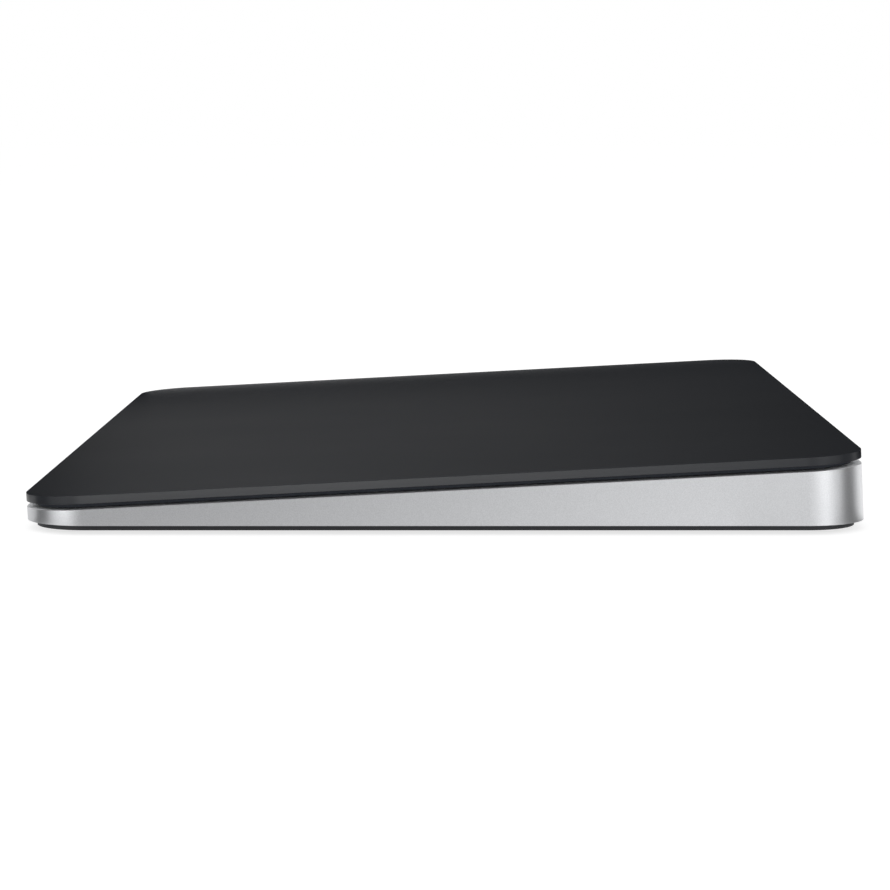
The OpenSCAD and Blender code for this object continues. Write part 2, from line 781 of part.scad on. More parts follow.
// Logic board
module logic_board() {
    notch_w = shell_w + 2 * slip;
    notch_d = logic_rear - shell_front + slip;
    color(circuit_green) on_slope() difference() {
        block([0, (logic_front + logic_rear) / 2], logic_w, logic_d, logic_under, logic_z);
        block([0, logic_rear - notch_d / 2 + over / 2], notch_w, notch_d + over,
              logic_under - over, logic_z + over);
        for (p = boss_points) post(p, screw_r + hole_clear, logic_under - over, logic_z + over);
    }
}

module logic_board_screws()
    color(steel) on_slope() for (p = boss_points)
        screw(p, logic_under, logic_t + boss_h - boss_roof - tip_gap);

// Component on the logic board's upper face: its column, the distance of its front, and its size
module on_logic(x, front, w, d, h)
    block([x, logic_front + front + d / 2], w, d, logic_z, logic_z + h);

memory_front = row_edge + processor_w + part_gap;
charger_front = memory_front + memory_d + part_gap;
inductor_front = row_edge + shield_d + part_gap;
capacitor_front = charger_front + charger_w + part_gap;

module processor_chip()
    color(circuit_black) on_slope() on_logic(-column_x, row_edge, processor_w, processor_w, chip_t);

module memory_chip()
    color(circuit_black) on_slope() on_logic(-column_x, memory_front, memory_w, memory_d, chip_t);

module charger_chip()
    color(circuit_black) on_slope() on_logic(-column_x, charger_front, charger_w, charger_w, chip_t);

module radio_shield()
    color(silver_foil) on_slope() difference() {
        on_logic(column_x, row_edge, shield_w, shield_d, shield_h);
        translate([0, 0, -over])
            on_logic(column_x, row_edge + shield_t, shield_w - 2 * shield_t, shield_d - 2 * shield_t,
                     shield_h - shield_t + over);
    }

module power_inductor()
    color(dark_steel) on_slope() on_logic(column_x, inductor_front, inductor_w, inductor_w, inductor_h);

module board_capacitors() {
    pitch = capacitor_l + capacitor_gap;
    color(ceramic_tan) on_slope() for (i = [0 : capacitor_count - 1])
        on_logic((i - (capacitor_count - 1) / 2) * pitch - column_x, capacitor_front,
                 capacitor_l, capacitor_w, capacitor_w);
}

module board_connectors()
    color(connector_white) on_slope() {
        block(touch_plug, touch_plug_w, plug_d, logic_z, plug_z);
        block(haptic_plug, plug_l, plug_d, logic_z, plug_z);
        block(switch_plug, plug_d, plug_l, logic_z, plug_z);
        for (s = [-1, 1]) {
            block([s * front_gauge_plug[0], front_gauge_plug[1]], plug_d, plug_l, logic_z, plug_z);
            block([s * battery_plug[0], battery_plug[1]], plug_d, battery_plug_l, logic_z, plug_z);
            block([s * rear_gauge_plug[0], rear_gauge_plug[1]], plug_d, plug_l, logic_z, plug_z);
        }
    }

// Flexible circuits
module touch_flex() {
    run = touch_plug[1] - sensor_back;
    color(amber_film) on_slope() {
        block([0, sensor_back], touch_plug_w, touch_plug_d, flex_z, flex_z + touch_plug_h);
        block([0, sensor_back + run / 2], touch_plug_w, run + touch_plug_d, flex_z - flex_t, flex_z);
        block(touch_plug, touch_plug_w, flex_t, plug_z, flex_z);
    }
}

module haptic_flex() {
    start = tray_d / 2 - haptic_forward;
    run = haptic_plug[1] - start;
    color(amber_film) on_slope() {
        block([haptic_plug[0], start + run / 2], flex_w, run, flex_z - flex_t, flex_z);
        block([haptic_plug[0], haptic_plug[1] - flex_t / 2], flex_w, flex_t, plug_z, flex_z);
    }
}

// Tail from a gauge, under its leaf and up to the deck, then a strip along the deck and down to its plug
module gauge_flex(side, y, path, plug) {
    tail_l = gauge_x - gauge_l / 2 - tail_end;
    block([side * (tail_end + tail_l / 2), y], tail_l, tail_w, leaf_under - flex_t, leaf_under);
    block([side * (tail_end - flex_t / 2), y], flex_t, tail_w, leaf_under - flex_t, under_z);
    strip([for (p = path) [side * p[0], p[1]]], flex_w, path_z);
    block([side * plug[0], plug[1]], flex_t, flex_w, plug_z, under_z);
}

module gauge_flexes() {
    front_path = [
        [leaf_lane_x, front_pad_y], [lane_front_x, front_pad_y], [lane_front_x, lane_y],
        [lane_x, lane_y], [lane_x, front_gauge_plug[1]], front_gauge_plug
    ];
    rear_path = [[leaf_lane_x, rear_pad_y], [leaf_lane_x, rear_lane_y], rear_gauge_plug];
    color(amber_film) on_slope() for (side = [-1, 1]) {
        gauge_flex(side, front_pad_y, front_path, front_gauge_plug);
        gauge_flex(side, rear_pad_y, rear_path, rear_gauge_plug);
    }
}

module switch_flex() {
    start = switch_x - switch_w / 2 - ear_w - flex_w / 2;
    color(amber_film) on_slope() {
        strip([[start, switch_y], [start, switch_plug[1]], switch_plug], flex_w, path_z);
        block(switch_plug, flex_t, flex_w, plug_z, under_z);
    }
}

// Antenna
module antenna_strip()
    color(copper) block([antenna_x, base_y + pin_point[1]], antenna_l, antenna_w, cover_top, antenna_top);

module antenna_contact()
    color(gold) difference() {
        on_slope() post(pin_point, pin_r, -below_all, logic_under);
        below(antenna_top);
    }

// Charge port
module charge_port_shell() {
    tab_y = shell_front + tab_edge + tab_l / 2;
    color(steel) on_slope() difference() {
        union() {
            along_depth(0, port_z, shell_front, shell_rear) stadium(shell_w, shell_h);
            for (s = [-1, 1])
                block([s * ((shell_w + tab_w) / 2 - shell_t), tab_y], tab_w, tab_l,
                      logic_z, logic_z + tab_t);
        }
        along_depth(0, port_z, shell_front - over, shell_rear + over) stadium(mouth_w, mouth_h);
    }
}

module charge_port_insert()
    color(black_plastic) on_slope() {
        along_depth(0, port_z, shell_front, shell_front + insert_l)
            stadium(mouth_w - 2 * slip, mouth_h - 2 * slip);
        along_depth(0, port_z, shell_front, shell_front + insert_l + tongue_l)
            square([tongue_w, tongue_t], center = true);
    }

module charge_port_contacts()
    color(gold) on_slope() for (i = [0 : contact_count - 1], face = [-1, 1]) {
        x = (i - (contact_count - 1) / 2) * contact_pitch;
        mid = port_z + face * (tongue_t + contact_t) / 2;
        block([x, shell_front + insert_l + contact_l / 2], contact_w, contact_l,
              mid - contact_t / 2, mid + contact_t / 2);
    }

module charge_port_trim()
    color(black_plastic) on_slope() along_depth(0, port_z, shell_rear - trim_l, shell_rear)
        difference() {
            stadium(port_hole_w - 2 * slip, port_hole_h - 2 * slip);
            stadium(shell_w + 2 * slip, shell_h + 2 * slip);
        }

// Power switch
module switch_housing()
    color(black_plastic) on_slope() difference() {
        union() {
            block([switch_x, switch_y], switch_w, switch_d, under_z - switch_h, under_z);
            block([switch_x, switch_y], switch_w + 2 * ear_w, switch_d, under_z - ear_t, under_z);
        }
        along_depth(switch_x, port_z, slider_front - wiper_l - wiper_clear, switch_rear + over)
            square([wiper_w + switch_travel + 2 * wiper_clear, wiper_w + 2 * wiper_clear], center = true);
        for (p = switch_screw_points) post(p, screw_r + hole_clear, under_z - ear_t - over, under_z + over);
    }

module switch_screws()
    color(steel) on_slope() for (p = switch_screw_points) screw(p, under_z - ear_t, ear_t + screw_reach);

module switch_slider()
    color(aluminium) on_slope() {
        along_depth(slider_x, port_z, slider_front, slider_rear) square([slider_l, slider_h], center = true);
        along_depth(slider_x, port_z, slider_front, half_d + knob_proud) stadium(knob_l, knob_h);
    }

// Coloured flag beside the knob: the slot shows it when the slider is at the on end
module switch_flag() {
    flag_l = switch_travel + knob_clear;
    color(flag_green) on_slope()
        along_depth(slider_x - (knob_l + flag_l) / 2 - slip, port_z, slider_rear, slider_rear + flag_t)
            square([flag_l, slot_h], center = true);
}

module switch_wiper()
    color(gold) on_slope() along_depth(slider_x, port_z, slider_front - wiper_l, slider_front)
        square([wiper_w, wiper_w], center = true);

glass_top();
glass_bond_film();
touch_sensor_board();
haptic_rail();
touch_controller();
sensor_connector();
gel_pads();
housing();
bottom_cover();
cover_seal();
feet();
force_leaves();
strain_gauges();
leaf_screws();
plate_bumpers();
haptic_tray();
haptic_core();
haptic_coils();
haptic_screws();
battery_cell_left();
battery_cell_right();
battery_tape();
battery_guard_boards();
battery_leads();
logic_board();
logic_board_screws();
processor_chip();
memory_chip();
radio_shield();
charger_chip();
power_inductor();
board_capacitors();
board_connectors();
touch_flex();
haptic_flex();
gauge_flexes();
switch_flex();
antenna_strip();
antenna_contact();
charge_port_shell();
charge_port_insert();
charge_port_contacts();
charge_port_trim();
switch_housing();
switch_screws();
switch_slider();
switch_flag();
switch_wiper();
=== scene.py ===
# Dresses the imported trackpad: pieces with fine round edges, procedural finishes and a white studio.
import json
import math

import bmesh
import bpy
from mathutils import Matrix, Vector

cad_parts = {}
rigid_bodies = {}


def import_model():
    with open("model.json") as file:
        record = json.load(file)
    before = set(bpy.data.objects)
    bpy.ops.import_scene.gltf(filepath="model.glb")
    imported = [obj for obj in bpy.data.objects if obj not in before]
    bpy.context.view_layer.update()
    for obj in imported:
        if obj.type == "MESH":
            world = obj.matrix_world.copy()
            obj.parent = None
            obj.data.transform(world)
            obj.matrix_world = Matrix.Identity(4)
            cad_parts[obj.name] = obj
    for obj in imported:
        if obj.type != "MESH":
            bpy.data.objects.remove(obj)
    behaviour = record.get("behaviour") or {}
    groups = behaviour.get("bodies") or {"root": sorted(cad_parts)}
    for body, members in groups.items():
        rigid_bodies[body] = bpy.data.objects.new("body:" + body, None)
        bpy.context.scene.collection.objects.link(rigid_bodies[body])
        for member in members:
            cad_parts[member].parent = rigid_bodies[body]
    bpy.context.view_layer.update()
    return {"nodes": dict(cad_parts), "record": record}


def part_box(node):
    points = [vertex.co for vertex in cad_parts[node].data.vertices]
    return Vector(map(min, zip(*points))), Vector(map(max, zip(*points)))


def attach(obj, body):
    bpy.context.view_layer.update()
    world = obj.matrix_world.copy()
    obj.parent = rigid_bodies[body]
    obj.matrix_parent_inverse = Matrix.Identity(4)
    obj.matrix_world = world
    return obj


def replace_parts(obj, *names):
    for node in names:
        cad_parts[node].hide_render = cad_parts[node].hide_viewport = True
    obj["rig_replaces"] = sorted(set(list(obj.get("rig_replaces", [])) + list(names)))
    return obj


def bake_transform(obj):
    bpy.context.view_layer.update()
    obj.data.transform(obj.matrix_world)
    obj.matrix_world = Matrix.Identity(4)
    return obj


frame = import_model()
cad = frame["nodes"]
slot_of = {row["node"]: row["material_slot"] for row in frame["record"]["subparts"]}

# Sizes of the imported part, in millimetres
MM = 0.001
PLATE_W, PLATE_D, CORNER_R = 160.0, 114.5, 8.5
FRONT_H, BACK_H = 4.9, 10.9
GLASS_T, FILM_T, BOARD_T, BOARD_INSET = 1.15, 0.07, 0.48, 1.4
RUN_GAP, DECK_T, WALL_T = 0.22, 1.1, 3.0
FOOT_H, COVER_T, SEAL_T, COVER_INSET = 0.48, 0.65, 0.12, 1.3
RIB_TOP, RIB_CLEAR, RIB_W = 0.32, 0.25, 0.8
FOOT_R, FOOT_RECESS, SLIP = 3.5, 0.25, 0.05
WELL_W, WELL_D, WELL_Y = 40.95, 19.96, -14.0
WINDOW_W, WINDOW_D, WINDOW_Y, WINDOW_R = 34.0, 9.0, 8.0, 1.0
BOSS_R, BOSS_H, BOSS_ROOF, LOGIC_T = 1.8, 2.4, 0.5, 0.8
THREAD_R, PAD_CLEAR, BUMPER_POCKET = 0.68, 0.5, 0.5
MOUTH_W, MOUTH_H, SHELL_T, SHELL_L, TRIM_T, TRIM_L = 8.34, 2.56, 0.3, 7.4, 0.5, 2.0
PORT_RECESS, TONGUE_W, TONGUE_T, TONGUE_L, INSERT_L = 0.15, 6.69, 0.7, 4.6, 1.6
TAB_W, TAB_L, TAB_T, TAB_EDGE = 1.5, 1.5, 0.3, 1.2
SWITCH_X, SWITCH_TRAVEL, KNOB_L, KNOB_H, KNOB_PROUD = 36.0, 2.0, 4.6, 2.2, 0.2
SLOT_L, SLOT_H, FLANGE_L, FLANGE_H, FLANGE_T, FLANGE_GAP = 6.9, 2.5, 9.9, 3.5, 0.6, 0.1
LEAF_HOLE_R = 0.8

# Sizes that only the dressed pieces have, in millimetres
TONGUE_R, TAB_R, FLANGE_R, LEAF_ROOT_R = 0.2, 0.2, 0.3, 0.2
WIRE_T, PAD_BULGE = 0.5, 0.25

# Values that follow from the part's sizes, in the plate's leaning frame or as heights above the table
SLOPE = math.asin((BACK_H - FRONT_H) / PLATE_D)
BASE_Z = FOOT_H + COVER_T + SEAL_T
COVER_TOP = FOOT_H + COVER_T
PLATE_Y = -(BACK_H - BASE_Z) * math.tan(SLOPE) / 2
PLATE_Z = (FRONT_H + BACK_H) / 2
BASE_D = PLATE_D / math.cos(SLOPE)
BASE_Y = PLATE_Y + (PLATE_Z - BASE_Z) * math.tan(SLOPE)
BOARD_Z = -GLASS_T - FILM_T
BOARD_UNDER = BOARD_Z - BOARD_T
DECK_Z = BOARD_UNDER - RUN_GAP
UNDER_Z = DECK_Z - DECK_T
LOGIC_Z = UNDER_Z - BOSS_H
PORT_Z = LOGIC_Z - LOGIC_T / 2
HALF_D = PLATE_D / 2
REAR_IN = HALF_D - WALL_T
SHELL_W, SHELL_H = MOUTH_W + 2 * SHELL_T, MOUTH_H + 2 * SHELL_T
SHELL_REAR = HALF_D - PORT_RECESS
SHELL_FRONT = SHELL_REAR - SHELL_L
INSERT_REAR = SHELL_FRONT + INSERT_L
PORT_HOLE = [length + 2 * (TRIM_T + 2 * SLIP) for length in (SHELL_W, SHELL_H)]
FLANGE_REAR = REAR_IN - FLANGE_GAP
KNOB_X = SWITCH_X - SWITCH_TRAVEL / 2
PLATE = Matrix.Translation((0, PLATE_Y, PLATE_Z)) @ Matrix.Rotation(SLOPE, 4, "X")
LEVEL = Matrix.Identity(4)
SIDES = (("left", -1), ("right", 1))

# How deep a cutter reaches, how far it passes a face, and how near the deck a face counts as the deck's
DEEP, PAST, NEAR_DECK = 30.0, 1.0, 0.001

# Rounding of edges, in millimetres
GLASS_EDGE, BOARD_EDGE, DECK_EDGE, BASE_EDGE, COVER_EDGE = 0.05, 0.2, 0.05, 0.02, 0.02
FOOT_EDGE, RIM_EDGE, FILM_EDGE, FINE_EDGE, INNER_EDGE = 0.15, 0.12, 0.02, 0.05, 0.03
INNER_EDGES = {
    "battery_cell_left": 0.5, "battery_cell_right": 0.5, "switch_housing": 0.15, "power_inductor": 0.15,
    "haptic_core": 0.12, "haptic_tray": 0.08, "board_connectors": 0.08}

# How finely curves are cut, and the angles beyond which an edge is sharp and a face isn't flat
CORNER_STEPS, HOLE_STEPS, EDGE_STEPS, INNER_STEPS = 28, 12, 3, 2
PAD_STEPS, BEND_STEPS, WIRE_SIDES = 12, 12, 8
SHARP, FLAT = math.radians(40), math.radians(0.5)
QUARTER = [math.radians(90 * i / EDGE_STEPS) for i in range(EDGE_STEPS + 1)]
WIRE_TURN = [math.radians(360 * i / WIRE_SIDES) for i in range(WIRE_SIDES)]

# Lengths that count as equal, in millimetres, and points that count as one, in metres
SAME_LENGTH, SAME_POINT = 1e-9, 1e-7


# Outlines and solids
def rounded(w, d, r, x=0.0, y=0.0, steps=CORNER_STEPS):
    """Outline of a rectangle with round corners, as a function from an inset to its points."""
    skip = {k for k, length in enumerate((w, d, w, d)) if abs(length - 2 * r) < SAME_LENGTH}

    def line(inset):
        points = []
        for k, (sx, sy) in enumerate(((1, 1), (-1, 1), (-1, -1), (1, -1))):
            for i in range(steps if k in skip else steps + 1):
                a = math.radians(90 * (k + i / steps))
                points.append((x + sx * (w / 2 - r) + (r - inset) * math.cos(a),
                               y + sy * (d / 2 - r) + (r - inset) * math.sin(a)))
        return points
    return line


def stadium(length, height, x=0.0, z=0.0):
    return rounded(length, height, height / 2, x, z, HOLE_STEPS)


def disc(r, x=0.0, y=0.0, steps=HOLE_STEPS):
    return rounded(2 * r, 2 * r, r, x, y, steps)


def plate_outline(inset):
    return rounded(PLATE_W - 2 * inset, PLATE_D - 2 * inset, CORNER_R - inset)


def cover_outline(inset):
    return rounded(PLATE_W - 2 * inset, BASE_D - 2 * inset, CORNER_R - inset, 0, BASE_Y)


def leaf_outline(at, half, sign):
    """Outline of a leaf: almost square at its root, round at its tip."""
    tip, root = (rounded(2 * half.x, 2 * half.y, r, at.x, at.y) for r in (half.y, LEAF_ROOT_R))

    def line(inset):
        points = [p for p in tip(inset) if sign * (p[0] - at.x) > 0]
        points += [p for p in root(inset) if sign * (p[0] - at.x) < 0]
        return sorted(points, key=lambda p: math.atan2(sign * (p[1] - at.y), sign * (p[0] - at.x)))
    return line


def rows(low, high, foot=0.0, head=0.0):
    """Insets and heights up the side of a slab whose lower and upper edges are rounded."""
    lower, upper = [(0, low)], [(0, high)]
    if foot:
        lower = [(foot * (1 - math.sin(t)), low + foot * (1 - math.cos(t))) for t in QUARTER]
    if head:
        upper = [(head * (1 - math.cos(t)), high - head * (1 - math.sin(t))) for t in QUARTER]
    return lower + upper


def plan(point, height):
    """A point of an outline that is drawn from above, with its heights along Z."""
    return point[0], point[1], height


def depth(point, height):
    """A point of an outline that is drawn from the front, with its heights along Y."""
    return point[0], height, point[1]


class Solid:
    """Points and faces of a closed shape in millimetres, with a finish number on each face."""

    def __init__(self):
        self.points, self.faces, self.marks = [], [], []

    def skin(self, rings, marks=0, cap_marks=(0, 0), loop=False):
        """Joins rings of points: into a bar with two end faces, or into a loop without them."""
        first, n, count = len(self.points), len(rings[0]), len(rings)
        for ring in rings:
            self.points.extend(ring)
        for k in range(count if loop else count - 1):
            a, b = first + k * n, first + (k + 1) % count * n
            self.faces += [(a + i, a + (i + 1) % n, b + (i + 1) % n, b + i) for i in range(n)]
            self.marks += [marks] * n
        if not loop:
            self.faces += [tuple(range(first + n - 1, first - 1, -1)),
                           tuple(range(first + (count - 1) * n, first + count * n))]
            self.marks += cap_marks
        return self

    def stack(self, outline, levels, axis=plan, **marks):
        """A bar through one outline at several insets and heights."""
        return self.skin([[axis(p, height) for p in outline(inset)] for inset, height in levels], **marks)

    def slab(self, outline, low, high, foot=0.0, head=0.0, axis=plan, **marks):
        return self.stack(outline, rows(low, high, foot, head), axis, **marks)

    def tube(self, outer, inner, low, high, edge, axis=plan):
        """A ring-shaped wall between two outlines, with its upper rim rounded on both sides."""
        outside = [(outer, i, h) for i, h in rows(low, high, 0, edge)]
        inside = [(inner, -i, h) for i, h in reversed(rows(low, high, 0, edge))]
        return self.skin([[axis(p, h) for p in line(i)] for line, i, h in outside + inside], loop=True)


def make(name, solid, placed=PLATE):
    """A mesh object of a solid, with its normals facing out."""
    mesh = bpy.data.meshes.new(name)
    mesh.from_pydata([tuple((placed @ Vector(p)) * MM) for p in solid.points], [], solid.faces)
    mesh.polygons.foreach_set("material_index", solid.marks)
    shape = bmesh.new()
    shape.from_mesh(mesh)
    bmesh.ops.recalc_face_normals(shape, faces=shape.faces)
    shape.to_mesh(mesh)
    shape.free()
    piece = bpy.data.objects.new(name, mesh)
    bpy.context.scene.collection.objects.link(piece)
    return piece


def combine(piece, solid, operation, placed=PLATE):
    """Cuts a solid out of a piece, or joins it on, and keeps the result as the piece's own mesh."""
    tool = make("tool", solid, placed)
    change = piece.modifiers.new("change", "BOOLEAN")
    change.operation, change.solver, change.object = operation, "MANIFOLD", tool
    graph = bpy.context.evaluated_depsgraph_get()
    before, after = piece.data, bpy.data.meshes.new_from_object(piece.evaluated_get(graph))
    after.materials.clear()
    piece.modifiers.clear()
    piece.data = after
    bpy.data.meshes.remove(before)
    bpy.data.meshes.remove(tool.data)


def cut_across(piece, start, end):
    """Divides a piece's faces at even steps along X, so that it can bend there."""
    shape = bmesh.new()
    shape.from_mesh(piece.data)
    for k in range(BEND_STEPS + 1):
        everything = [*shape.verts, *shape.edges, *shape.faces]
        place = start.lerp(end, k / BEND_STEPS)
        bmesh.ops.bisect_plane(shape, geom=everything, plane_co=place, plane_no=(1, 0, 0))
    shape.to_mesh(piece.data)
    shape.free()


def islands(name):
    """Middle and half size of each separate solid of a CAD node, in the plate's frame."""
    shape = bmesh.new()
    shape.from_mesh(cad[name].data)
    bmesh.ops.remove_doubles(shape, verts=shape.verts, dist=SAME_POINT)
    back, found, left = PLATE.inverted(), [], set(shape.verts)
    while left:
        group, grow = [], [left.pop()]
        while grow:
            point = grow.pop()
            group.append(back @ (point.co / MM))
            near = [edge.other_vert(point) for edge in point.link_edges if edge.other_vert(point) in left]
            left.difference_update(near)
            grow += near
        low, high = (Vector([pick(axis) for axis in zip(*group)]) for pick in (min, max))
        found.append(((low + high) / 2, (high - low) / 2))
    shape.free()
    return sorted(found, key=lambda solid: tuple(solid[0]))


def keep_flat(piece):
    """Normals that follow the large faces, so that flat faces beside round edges look flat."""
    piece.modifiers.new("normals", "WEIGHTED_NORMAL").keep_sharp = True


# Shader nodes
WHITE, BLACK = (1, 1, 1, 1), (0, 0, 0, 1)


def feed(node, *ordered, **named):
    """Gives a node's inputs, in order or by name with _ for a space, a value or another node's output."""
    for key, value in [*enumerate(ordered), *named.items()]:
        socket = node.inputs[key if isinstance(key, int) else key.replace("_", " ")]
        if isinstance(value, bpy.types.NodeSocket):
            node.id_data.links.new(value, socket)
        else:
            socket.default_value = value


def add(tree, kind, *ordered, **named):
    """A new node of a kind, with its inputs fed."""
    node = tree.nodes.new(kind)
    feed(node, *ordered, **named)
    return node


def new_material(name):
    material = bpy.data.materials.new(name)
    material.use_nodes = True
    return material, material.node_tree


# Finishes: where on a noise the two ends of a ramp lie, and how many layers the fine and broad noises have
RAMP_LOW, RAMP_HIGH = 0.3, 0.7
FINE_DETAIL, BROAD_DETAIL = 3, 2


def finish(name, dark, light, *, grain, rough, relief, patch=25.0, uneven=0.06, stretch=(1, 1, 1), **sockets):
    """A finish with a fine grain in colour and relief, and broad patches in tone and roughness.
    Grain, patch and relief are in millimetres; dark and light are the grain's two linear colours."""
    material, tree = new_material(name)
    shader = tree.nodes["Principled BSDF"]
    feed(shader, **sockets)
    place = add(tree, "ShaderNodeTexCoord").outputs["Object"]
    drawn = add(tree, "ShaderNodeMapping", Vector=place, Scale=stretch).outputs["Vector"]

    def noise(size, detail):
        made = add(tree, "ShaderNodeTexNoise", Vector=drawn, Scale=1 / (size * MM), Detail=detail)
        return made.outputs["Fac"]

    def ramp(source, low, high):
        made = add(tree, "ShaderNodeValToRGB", Fac=source)
        for stop, position, colour in zip(made.color_ramp.elements, (RAMP_LOW, RAMP_HIGH), (low, high)):
            stop.position = position
            stop.color = (*colour, 1)
        return made.outputs["Color"]

    fine, broad = noise(grain, FINE_DETAIL), noise(patch, BROAD_DETAIL)
    tone = add(tree, "ShaderNodeMix")
    tone.data_type, tone.blend_type = "RGBA", "MULTIPLY"
    feed(tone, Factor=1, A=ramp(fine, dark, light), B=ramp(broad, (1 - uneven,) * 3, (1, 1, 1)))
    span = add(tree, "ShaderNodeMapRange", Value=broad, From_Min=RAMP_LOW, From_Max=RAMP_HIGH,
               To_Min=rough[0], To_Max=rough[1])
    bump = add(tree, "ShaderNodeBump", Strength=1, Distance=relief * MM, Height=fine)
    feed(shader, Base_Color=tone.outputs["Result"], Roughness=span.outputs["Result"],
         Normal=bump.outputs["Normal"])
    return material


def grey(value, cool=0.0):
    """A grey of a given green level. A cool one has a little less red, and twice that much more blue."""
    return value * (1 - cool), value, value * (1 + 2 * cool)


FINISHES = {
    "black_glass": finish(
        "etched_black_glass", grey(0.0081, 0.17), grey(0.0105, 0.17), grain=0.06, rough=(0.5, 0.52),
        relief=0.0006, patch=40, uneven=0.02, Specular_IOR_Level=0.06),
    "glass_edge": finish(
        "polished_glass_edge", grey(0.022, 0.1), grey(0.028, 0.1), grain=0.08, rough=(0.28, 0.32),
        relief=0.001, patch=12, Specular_IOR_Level=0.3),
    "black_film": finish(
        "black_adhesive", grey(0.01), grey(0.014), grain=0.3, rough=(0.6, 0.7), relief=0.002),
    "sensor_board": finish(
        "black_board_edge", grey(0.046, 0.12), grey(0.058, 0.12), grain=0.25, rough=(0.5, 0.62),
        relief=0.003, patch=8, Specular_IOR_Level=0.1),
    "steel": finish(
        "brushed_steel", grey(0.5), grey(0.6), grain=0.12, rough=(0.28, 0.36), relief=0.002,
        stretch=(0.06, 1, 1), Metallic=1.0),
    "screw_steel": finish(
        "machined_screw", grey(0.42), grey(0.52), grain=0.1, rough=(0.25, 0.35), relief=0.002, patch=3,
        Metallic=1.0),
    "chip_black": finish(
        "moulded_chip", grey(0.016), grey(0.026), grain=0.12, rough=(0.5, 0.6), relief=0.004, patch=3),
    "connector_white": finish(
        "moulded_connector", (0.68, 0.66, 0.59), (0.78, 0.76, 0.69), grain=0.2, rough=(0.42, 0.5),
        relief=0.003, patch=3),
    "gel": finish(
        "clear_gel", (0.6, 0.63, 0.65), (0.7, 0.72, 0.73), grain=0.5, rough=(0.25, 0.35), relief=0.004,
        patch=3, Subsurface_Weight=0.3, Transmission_Weight=0.25),
    "aluminium_satin": finish(
        "blasted_aluminium", grey(0.565, 0.012), grey(0.675, 0.012), grain=0.12, rough=(0.34, 0.36),
        relief=0.0016, patch=30, uneven=0.02, Metallic=1.0),
    "deck": finish(
        "bare_blasted_deck", grey(0.7, 0.012), grey(0.8, 0.012), grain=0.12, rough=(0.6, 0.65),
        relief=0.0016, patch=30, uneven=0.02),
    "cover_black": finish(
        "spark_textured_cover", grey(0.0122, 0.12), grey(0.0178, 0.12), grain=0.14, rough=(0.55, 0.57),
        relief=0.004, patch=20, uneven=0.02),
    "foot_rubber": finish(
        "foot_rubber", grey(0.026), grey(0.036), grain=0.2, rough=(0.7, 0.8), relief=0.005, patch=4),
    "bumper_rubber": finish(
        "bumper_rubber", grey(0.024), grey(0.034), grain=0.2, rough=(0.7, 0.8), relief=0.005, patch=3),
    "amber_film": finish(
        "amber_circuit", (0.27, 0.1, 0.018), (0.33, 0.13, 0.028), grain=0.15, rough=(0.3, 0.4),
        relief=0.001, patch=4, Coat_Weight=0.3),
    "core_iron": finish(
        "laminated_core", grey(0.07), grey(0.13), grain=0.35, rough=(0.4, 0.5), relief=0.01, patch=6,
        stretch=(0.05, 0.05, 1), Metallic=1.0),
    "copper": finish(
        "enamelled_copper", (0.68, 0.32, 0.15), (0.76, 0.38, 0.19), grain=0.2, rough=(0.22, 0.3),
        relief=0.001, patch=4, stretch=(1, 0.1, 0.1), Metallic=1.0, Coat_Weight=0.5),
    "cell_foil": finish(
        "pouch_foil", grey(0.57), grey(0.61), grain=0.6, rough=(0.3, 0.4), relief=0.01, patch=12,
        Metallic=1.0),
    "tape_white": finish(
        "foam_tape", (0.78, 0.78, 0.76), (0.87, 0.87, 0.85), grain=0.3, rough=(0.7, 0.8), relief=0.01,
        patch=5),
    "circuit_green": finish(
        "solder_mask", (0.011, 0.055, 0.03), (0.018, 0.08, 0.046), grain=0.7, rough=(0.3, 0.4),
        relief=0.003, patch=5, Coat_Weight=0.4),
    "shield_tin": finish(
        "tinned_shield", grey(0.55), grey(0.65), grain=0.3, rough=(0.25, 0.35), relief=0.003, patch=4,
        Metallic=1.0),
    "ceramic": finish(
        "ceramic_body", (0.4, 0.28, 0.17), (0.5, 0.36, 0.23), grain=0.15, rough=(0.4, 0.5), relief=0.002,
        patch=2),
    "gold": finish(
        "plated_gold", (0.78, 0.57, 0.2), (0.88, 0.67, 0.28), grain=0.1, rough=(0.2, 0.28), relief=0.001,
        patch=2, Metallic=1.0),
    "flag_green": finish(
        "green_paint", (0.04, 0.4, 0.065), (0.06, 0.48, 0.09), grain=0.15, rough=(0.35, 0.42),
        relief=0.002, patch=2),
}


def dress(piece, body, slot, *replaced, extra=(), bend=None):
    """Gives a piece its finish, its body and the CAD nodes that it stands for.
    A piece that bends gets no body: its placement is baked into its mesh, and the second body and points that
    bend carries are not used."""
    for name in (slot, *extra):
        piece.data.materials.append(FINISHES[name])
    piece.data.polygons.foreach_set("use_smooth", [True] * len(piece.data.polygons))
    piece.data.set_sharp_from_angle(angle=SHARP)
    keep_flat(piece)
    if bend:
        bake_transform(piece)
    else:
        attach(piece, body)
    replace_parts(piece, *replaced)
    return piece


# Touch plate: glass with a ground edge, on a board that is set back from it
glass = Solid().slab(plate_outline(0), -GLASS_T, 0, FINE_EDGE, GLASS_EDGE, marks=1)
plate = dress(make("touch_glass", glass), "touch_plate", "black_glass", "glass_top", extra=("glass_edge",))
board = Solid().slab(plate_outline(BOARD_INSET), BOARD_UNDER, BOARD_Z, FINE_EDGE, BOARD_EDGE)
sensor = dress(make("sensor_board", board), "touch_plate", "sensor_board", "touch_sensor_board")

